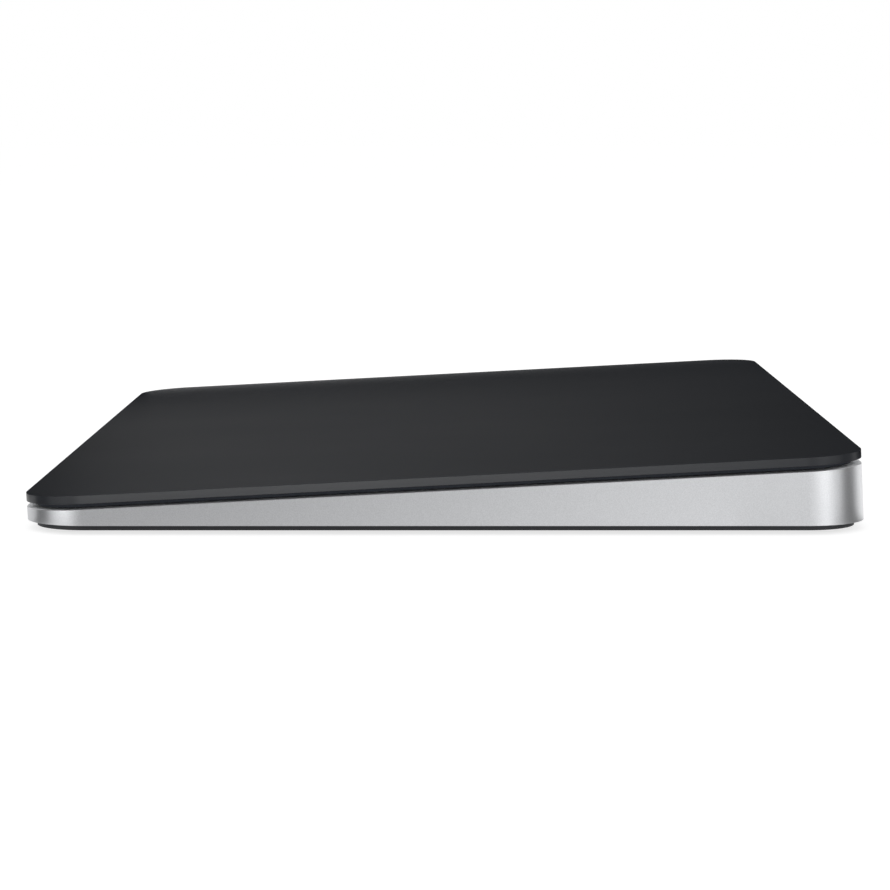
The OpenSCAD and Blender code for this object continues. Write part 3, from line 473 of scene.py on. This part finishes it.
# Housing: a wedge with round edges, cut level below, hollowed, and opened at the rear
rim, walls = plate_outline(0), []
for inset, lift in rows(0, DEEP, BASE_EDGE)[:-1]:
    walls.append([(x, y, (BASE_Z + lift - PLATE_Z - y * math.sin(SLOPE)) / math.cos(SLOPE))
                  for x, y in rim(inset)])
for inset, z in rows(-DEEP, DECK_Z, 0, DECK_EDGE)[1:]:
    walls.append([(x, y, z) for x, y in rim(inset)])
housing = make("housing_body", Solid().skin(walls))
combine(housing, Solid().slab(plate_outline(WALL_T), -DEEP, UNDER_Z), "DIFFERENCE")
bosses, holes = Solid(), Solid()
for at, _ in islands("logic_board_screws"):
    bosses.slab(disc(BOSS_R, at.x, at.y), LOGIC_Z, UNDER_Z + DECK_T / 2)
    holes.slab(disc(THREAD_R, at.x, at.y), LOGIC_Z - PAST, UNDER_Z - BOSS_ROOF)
combine(housing, bosses, "UNION")
through_deck = UNDER_Z - PAST, DECK_Z + PAST
for name in ("leaf_screws", "haptic_screws", "switch_screws"):
    for at, _ in islands(name):
        holes.slab(disc(THREAD_R, at.x, at.y), *through_deck)
for at, half in islands("gel_pads"):
    holes.slab(disc(half.x + PAD_CLEAR, at.x, at.y, CORNER_STEPS), *through_deck)
for at, half in islands("plate_bumpers"):
    holes.slab(disc(half.x + SLIP, at.x, at.y), DECK_Z - BUMPER_POCKET, DECK_Z + PAST)
holes.slab(rounded(WELL_W, WELL_D, WINDOW_R, 0, WELL_Y), *through_deck)
holes.slab(rounded(WINDOW_W, WINDOW_D, WINDOW_R, 0, WINDOW_Y), *through_deck)
for outline in (stadium(*PORT_HOLE, 0, PORT_Z), stadium(SLOT_L, SLOT_H, SWITCH_X, PORT_Z)):
    mouth = [(0, REAR_IN - PAST)]
    mouth += [(-RIM_EDGE * (1 - math.cos(t)), HALF_D - RIM_EDGE * (1 - math.sin(t))) for t in QUARTER]
    mouth += [(-RIM_EDGE, HALF_D + PAST)]
    holes.stack(outline, mouth, depth)
combine(housing, holes, "DIFFERENCE")
for face in housing.data.polygons:
    face.material_index = int((PLATE.inverted() @ (face.center / MM)).z > DECK_Z - NEAR_DECK)
dress(housing, "base", "aluminium_satin", "housing", extra=("deck",))

# Bottom cover with its rib and foot recesses, and the four feet
lid = Solid().slab(cover_outline(COVER_INSET), FOOT_H, COVER_TOP, COVER_EDGE, FINE_EDGE)
cover = make("cover_plate", lid, LEVEL)
rib = Solid().tube(cover_outline(WALL_T + RIB_CLEAR), cover_outline(WALL_T + RIB_CLEAR + RIB_W),
                   COVER_TOP - COVER_T / 2, COVER_TOP + RIB_TOP, FINE_EDGE)
combine(cover, rib, "UNION", LEVEL)
low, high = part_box("feet")
foot_points = [(x, y) for x in (low.x / MM + FOOT_R, high.x / MM - FOOT_R)
               for y in (low.y / MM + FOOT_R, high.y / MM - FOOT_R)]
recesses, feet = Solid(), Solid()
for x, y in foot_points:
    mouth = [(-FINE_EDGE, FOOT_H - PAST)]
    mouth += [(-FINE_EDGE * (1 - math.sin(t)), FOOT_H + FINE_EDGE * (1 - math.cos(t))) for t in QUARTER]
    mouth += [(0, FOOT_H + FOOT_RECESS)]
    recesses.stack(disc(FOOT_R + SLIP, x, y, CORNER_STEPS), mouth)
    feet.slab(disc(FOOT_R, x, y, CORNER_STEPS), 0, FOOT_H + FOOT_RECESS, FOOT_EDGE, FINE_EDGE)
combine(cover, recesses, "DIFFERENCE", LEVEL)
dress(cover, "base", "cover_black", "bottom_cover")
dress(make("rubber_feet", feet, LEVEL), "base", "foot_rubber", "feet")

# Charge port: trim ring, steel shell with solder tabs, and the tongue
trim = Solid().tube(stadium(*(length - 2 * SLIP for length in PORT_HOLE), 0, PORT_Z),
                    stadium(SHELL_W + 2 * SLIP, SHELL_H + 2 * SLIP, 0, PORT_Z),
                    SHELL_REAR - TRIM_L, SHELL_REAR, RIM_EDGE, depth)
dress(make("port_trim", trim), "base", slot_of["charge_port_trim"], "charge_port_trim")
sleeve = Solid().tube(stadium(SHELL_W, SHELL_H, 0, PORT_Z), stadium(MOUTH_W, MOUTH_H, 0, PORT_Z),
                      SHELL_FRONT, SHELL_REAR, RIM_EDGE, depth)
shell, tabs = make("port_shell", sleeve), Solid()
for _, sign in SIDES:
    tab_x, tab_y = sign * ((SHELL_W + TAB_W) / 2 - SHELL_T / 2), SHELL_FRONT + TAB_EDGE + TAB_L / 2
    tabs.slab(rounded(TAB_W, TAB_L, TAB_R, tab_x, tab_y, HOLE_STEPS), LOGIC_Z, LOGIC_Z + TAB_T, 0, FINE_EDGE)
combine(shell, tabs, "UNION")
dress(shell, "base", "steel", "charge_port_shell")
plug_floor = Solid().slab(stadium(MOUTH_W - 2 * SLIP, MOUTH_H - 2 * SLIP, 0, PORT_Z),
                          SHELL_FRONT, INSERT_REAR, 0, FINE_EDGE, depth)
tongue = Solid().slab(rounded(TONGUE_W, TONGUE_T, TONGUE_R, 0, PORT_Z, HOLE_STEPS),
                      SHELL_FRONT + INSERT_L / 2, INSERT_REAR + TONGUE_L, 0, RIM_EDGE, depth)
insert = make("port_tongue", plug_floor)
combine(insert, tongue, "UNION")
dress(insert, "base", slot_of["charge_port_insert"], "charge_port_insert")

# Power switch: a flange behind the rear wall and a knob in its slot
flange = Solid().slab(rounded(FLANGE_L, FLANGE_H, FLANGE_R, KNOB_X, PORT_Z, HOLE_STEPS),
                      FLANGE_REAR - FLANGE_T, FLANGE_REAR, FINE_EDGE, FINE_EDGE, depth)
grip = Solid().slab(stadium(KNOB_L, KNOB_H, KNOB_X, PORT_Z), FLANGE_REAR - FLANGE_T / 2, HALF_D + KNOB_PROUD,
                    0, RIM_EDGE, depth)
knob = make("switch_knob", flange)
combine(knob, grip, "UNION")
dress(knob, "power_switch", "aluminium_satin", "switch_slider")

# Gel pads that bulge a little
pads = Solid()
for at, half in islands("gel_pads"):
    levels = []
    for share in (i / PAD_STEPS for i in range(PAD_STEPS + 1)):
        inset = PAD_BULGE * (1 - math.sin(math.pi * share)) ** 2
        levels.append((inset, UNDER_Z + share * (BOARD_UNDER - UNDER_Z)))
    pads.stack(disc(half.x, at.x, at.y, CORNER_STEPS), levels)
dress(make("damper_pads", pads), "suspension", "gel", "gel_pads")

# One wire wound along each leg of the core
wires = Solid()
along = Vector((WIRE_T / 2, 0, 0))
for at, half in islands("haptic_coils"):
    path = rounded(2 * half.y - WIRE_T, 2 * half.z - WIRE_T, WIRE_T / 2, at.y, at.z, EDGE_STEPS)(0)
    rings = []
    for i in range(round(2 * half.x / WIRE_T - 1) * len(path) + 1):
        (y0, z0), (y, z), (y1, z1) = (path[(i + k) % len(path)] for k in (-1, 0, 1))
        out = Vector((0, z1 - z0, y0 - y1)).normalized() * WIRE_T / 2
        middle = Vector((at.x - half.x + WIRE_T * (0.5 + i / len(path)), y, z))
        rings.append([tuple(middle + out * math.cos(a) + along * math.sin(a)) for a in WIRE_TURN])
    wires.skin(rings)
dress(make("windings", wires), "base", "copper", "haptic_coils")

# Leaf springs and the strain gauges under them, which bend between the gauge and the gel pad
for side, sign in SIDES:
    leaves, screws, gauges, dampers = (
        [row for row in islands(name) if sign * row[0].x > 0]
        for name in ("force_leaves", "leaf_screws", "strain_gauges", "gel_pads"))
    springs, screw_holes, films = Solid(), Solid(), Solid()
    for at, half in leaves:
        springs.slab(leaf_outline(at, half, sign), at.z - half.z, at.z + half.z, FINE_EDGE, FINE_EDGE)
    for at, _ in screws:
        screw_holes.slab(disc(LEAF_HOLE_R, at.x, at.y), UNDER_Z - PAST, UNDER_Z + PAST)
    for at, half in gauges:
        outline = rounded(2 * half.x, 2 * half.y, LEAF_ROOT_R, at.x, at.y, HOLE_STEPS)
        films.slab(outline, at.z - half.z, at.z + half.z, FILM_EDGE, FILM_EDGE)
    start, end = (PLATE @ Vector((at.x - sign * half.x, 0, UNDER_Z)) * MM
                  for at, half in (gauges[0], dampers[0]))
    spring_piece, film_piece = make("leaf_springs_" + side, springs), make("gauge_films_" + side, films)
    combine(spring_piece, screw_holes, "DIFFERENCE")
    for piece, name in ((spring_piece, "force_leaves"), (film_piece, "strain_gauges")):
        cut_across(piece, start, end)
        dress(piece, "base", slot_of[name], name, bend=("suspension", start, end))

# Camera at the photograph's place: it looks along -X and a little down; places from here on are in metres
CAMERA_AT, CAMERA_DOWN = (0.465846, 0.002192, 0.055413), 6.388
SENSOR_W, LENS, SHIFT = 36, 117.175, -0.0181
camera = bpy.data.objects.new("camera", bpy.data.cameras.new("camera"))
camera.data.sensor_width, camera.data.lens, camera.data.shift_x = SENSOR_W, LENS, SHIFT
camera.location = CAMERA_AT
camera.rotation_euler = (math.radians(90 - CAMERA_DOWN), 0, math.radians(90))
bpy.context.scene.collection.objects.link(camera)
bpy.context.scene.camera = camera
bpy.context.scene.view_settings.view_transform = "Standard"


# Studio: a white room for camera and mirror rays, and a pale floor that keeps the shadow
def white_rays(tree):
    """1 for camera, glossy and transmission rays, 0 for the rays that carry diffuse light."""
    rays = add(tree, "ShaderNodeLightPath")
    found = rays.outputs["Is Camera Ray"]
    for name in ("Is Glossy Ray", "Is Transmission Ray"):
        most = add(tree, "ShaderNodeMath", found, rays.outputs[name])
        most.operation = "MAXIMUM"
        found = most.outputs["Value"]
    return found


# Light from all around; the paper's tone under diffuse rays, and its tone and glow under the others
AMBIENT, PAPER = 0.6, 0.85
SHADE, GLOW, CAMERA_GLOW = 0.42, 0.55, 0.2

# Half the floor's side, and the corners of a square
FLOOR_HALF = 6
SQUARE = [(-1, -1, 0), (1, -1, 0), (1, 1, 0), (-1, 1, 0)]

world = bpy.data.worlds.new("studio")
bpy.context.scene.world = world
world.use_nodes = True
tree = world.node_tree
ambient = tree.nodes["Background"]
feed(ambient, Color=WHITE, Strength=AMBIENT)
backdrop = add(tree, "ShaderNodeBackground", Color=WHITE, Strength=1)
chosen = add(tree, "ShaderNodeMixShader", white_rays(tree), ambient.outputs[0], backdrop.outputs[0])
feed(tree.nodes["World Output"], Surface=chosen.outputs[0])

paper, tree = new_material("studio_paper")
tree.nodes.remove(tree.nodes["Principled BSDF"])
matte = add(tree, "ShaderNodeBsdfDiffuse", Color=(PAPER, PAPER, PAPER, 1))
shade = add(tree, "ShaderNodeBsdfDiffuse", Color=(SHADE, SHADE, SHADE, 1))
seen = add(tree, "ShaderNodeLightPath").outputs["Is Camera Ray"]
strength = add(tree, "ShaderNodeMath", seen, CAMERA_GLOW, GLOW)
strength.operation = "MULTIPLY_ADD"
glow = add(tree, "ShaderNodeEmission", Strength=strength.outputs[0])
bright = add(tree, "ShaderNodeAddShader", shade.outputs[0], glow.outputs[0])
lit = add(tree, "ShaderNodeMixShader", white_rays(tree), matte.outputs[0], bright.outputs[0])
below = add(tree, "ShaderNodeNewGeometry").outputs["Backfacing"]
clear = add(tree, "ShaderNodeBsdfTransparent")
from_above = add(tree, "ShaderNodeMixShader", below, lit.outputs[0], clear.outputs[0])
feed(tree.nodes["Material Output"], Surface=from_above.outputs[0])

floor_mesh = bpy.data.meshes.new("floor")
floor_mesh.from_pydata([(x * FLOOR_HALF, y * FLOOR_HALF, z) for x, y, z in SQUARE], [], [(0, 1, 2, 3)])
floor_mesh.materials.append(paper)
floor = bpy.data.objects.new("floor", floor_mesh)
bpy.context.scene.collection.objects.link(floor)


# Lamps
def softbox(name, at, width, height, level):
    """A rectangular lamp that faces the part's middle; level is its brightness beside a white wall's."""
    light = bpy.data.lights.new(name, "AREA")
    light.shape, light.size, light.size_y = "RECTANGLE", width, height
    light.energy = level * math.pi * width * height
    lamp = bpy.data.objects.new(name, light)
    lamp.location = at
    lamp.rotation_mode = "QUATERNION"
    lamp.rotation_quaternion = Vector(at).to_track_quat("Z", "Y")
    lamp.visible_camera = False
    bpy.context.scene.collection.objects.link(lamp)
    return lamp


def light_only(lamp, *pieces):
    """Lets a lamp or card shine on these pieces alone."""
    lamp.light_linking.receiver_collection = bpy.data.collections.new(lamp.name)
    for piece in pieces:
        lamp.light_linking.receiver_collection.objects.link(piece)


FRONT_LEVELS = {"left": 4.1, "right": 2.4}
softbox("overhead", (-0.1, -0.1, 0.8), width=0.9, height=0.9, level=0.8)
for side, sign in SIDES:
    front = softbox("front_" + side, (0.346, sign * 0.277, 0.1), width=0.15, height=0.2,
                    level=FRONT_LEVELS[side])
    front.visible_diffuse = False
    ledge_lamp = softbox("ledge_" + side, (0, sign * 0.35, 0.2), width=0.3, height=0.15, level=4.9)
    ledge_lamp.visible_glossy = False
    light_only(ledge_lamp, housing)
edge_lamp = softbox("front_edge", (0.35, -0.04, 0.02), width=0.16, height=0.04, level=18.5)
edge_lamp.visible_diffuse = False
light_only(edge_lamp, plate)
gap_lamp = softbox("front_gap", (0.35, 0, 0.02), width=0.3, height=0.02, level=8)
gap_lamp.visible_glossy = False
light_only(gap_lamp, housing, sensor)

# Cards that only mirror rays meet, as a photographer sets them to shape a metal edge
UPRIGHT = math.pi / 2
FACING = {"X": (UPRIGHT, 0, UPRIGHT), "Y": (UPRIGHT, 0, 0), "Z": (0, 0, UPRIGHT),
          "slope": (UPRIGHT, -SLOPE, UPRIGHT)}
FLOOR_LIFT = 0.0003


def card(name, facing, at, wide, high, tone, end=None):
    """A card that faces along an axis and glows with a tone, which may fade across its width to another."""
    paint, tree = new_material(name)
    place = add(tree, "ShaderNodeTexCoord").outputs["Object"]
    across = add(tree, "ShaderNodeSeparateXYZ", Vector=place).outputs["X"]
    fade = add(tree, "ShaderNodeMapRange", Value=across, From_Min=-1, From_Max=1,
               To_Min=tone, To_Max=tone if end is None else end)
    feed(tree.nodes["Principled BSDF"], Base_Color=BLACK, Specular_IOR_Level=0, Emission_Color=WHITE,
         Emission_Strength=fade.outputs["Result"])
    mesh = bpy.data.meshes.new(name)
    mesh.from_pydata(SQUARE, [], [(0, 1, 2, 3)])
    mesh.materials.append(paint)
    sheet = bpy.data.objects.new(name, mesh)
    sheet.location, sheet.rotation_euler, sheet.scale = at, FACING[facing], (wide / 2, high / 2, 1)
    sheet.visible_camera = sheet.visible_diffuse = sheet.visible_transmission = sheet.visible_shadow = False
    bpy.context.scene.collection.objects.link(sheet)
    return sheet


card("card_left", "Y", (0.0779, -0.065, 0.02), wide=0.0082, high=0.04, tone=0.17)
card("card_left_floor", "Z", (0.0779, -0.0615, FLOOR_LIFT), wide=0.007, high=0.0082, tone=0.17)
left_bright = card("card_left_bright", "Y", (0.03, -0.078, 0.03), wide=0.06, high=0.06, tone=0.85, end=1.4)
light_only(left_bright, housing)
card("card_right", "Y", (0.0758, 0.08, 0.04), wide=0.0176, high=0.08, tone=0.21)
card("card_right_floor", "Z", (0.0758, 0.069, FLOOR_LIFT), wide=0.022, high=0.0176, tone=0.21)
right_bright = card("card_right_bright", "Y", (0.03, 0.078, 0.03), wide=0.06, high=0.06, tone=0.85, end=1.4)
light_only(right_bright, housing)
card("card_right_bright_floor", "Z", (0.051, 0.068, FLOOR_LIFT), wide=0.02, high=0.032, tone=1.3)
card("card_front", "X", (0.16, -0.015, 0.1), wide=0.13, high=0.2, tone=0, end=1)
card("card_front_floor", "Z", (0.1255, -0.009, FLOOR_LIFT), wide=0.098, high=0.089, tone=0.5, end=1)
card("card_back", "X", (-0.152, 0, 0.25), wide=1.0, high=0.5, tone=0)
card("card_back_glow", "X", (-0.15, 0.017, 0.15), wide=0.206, high=0.3, tone=0.68, end=0)
card("card_back_low", "X", (-0.1, 0, 0.01), wide=0.4, high=0.02, tone=0)
card("card_far_edge", "slope", (-0.0815, 0, 0.0087), wide=0.115, high=0.0015, tone=1.35, end=0.25)

# CAD nodes that no piece replaces: the finish of their slot, and rounded edges
stood_for = {name for piece in bpy.context.scene.objects for name in piece.get("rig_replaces", [])}
for name, node in cad.items():
    if name in stood_for:
        continue
    node.data.materials.clear()
    node.data.materials.append(FINISHES[slot_of[name]])
    flat = node.modifiers.new("flat_faces", "DECIMATE")
    flat.decimate_type, flat.angle_limit = "DISSOLVE", FLAT
    edge = node.modifiers.new("round_edges", "BEVEL")
    edge.width, edge.segments = INNER_EDGES.get(name, INNER_EDGE) * MM, INNER_STEPS
    edge.limit_method, edge.angle_limit = "ANGLE", SHARP
    keep_flat(node)
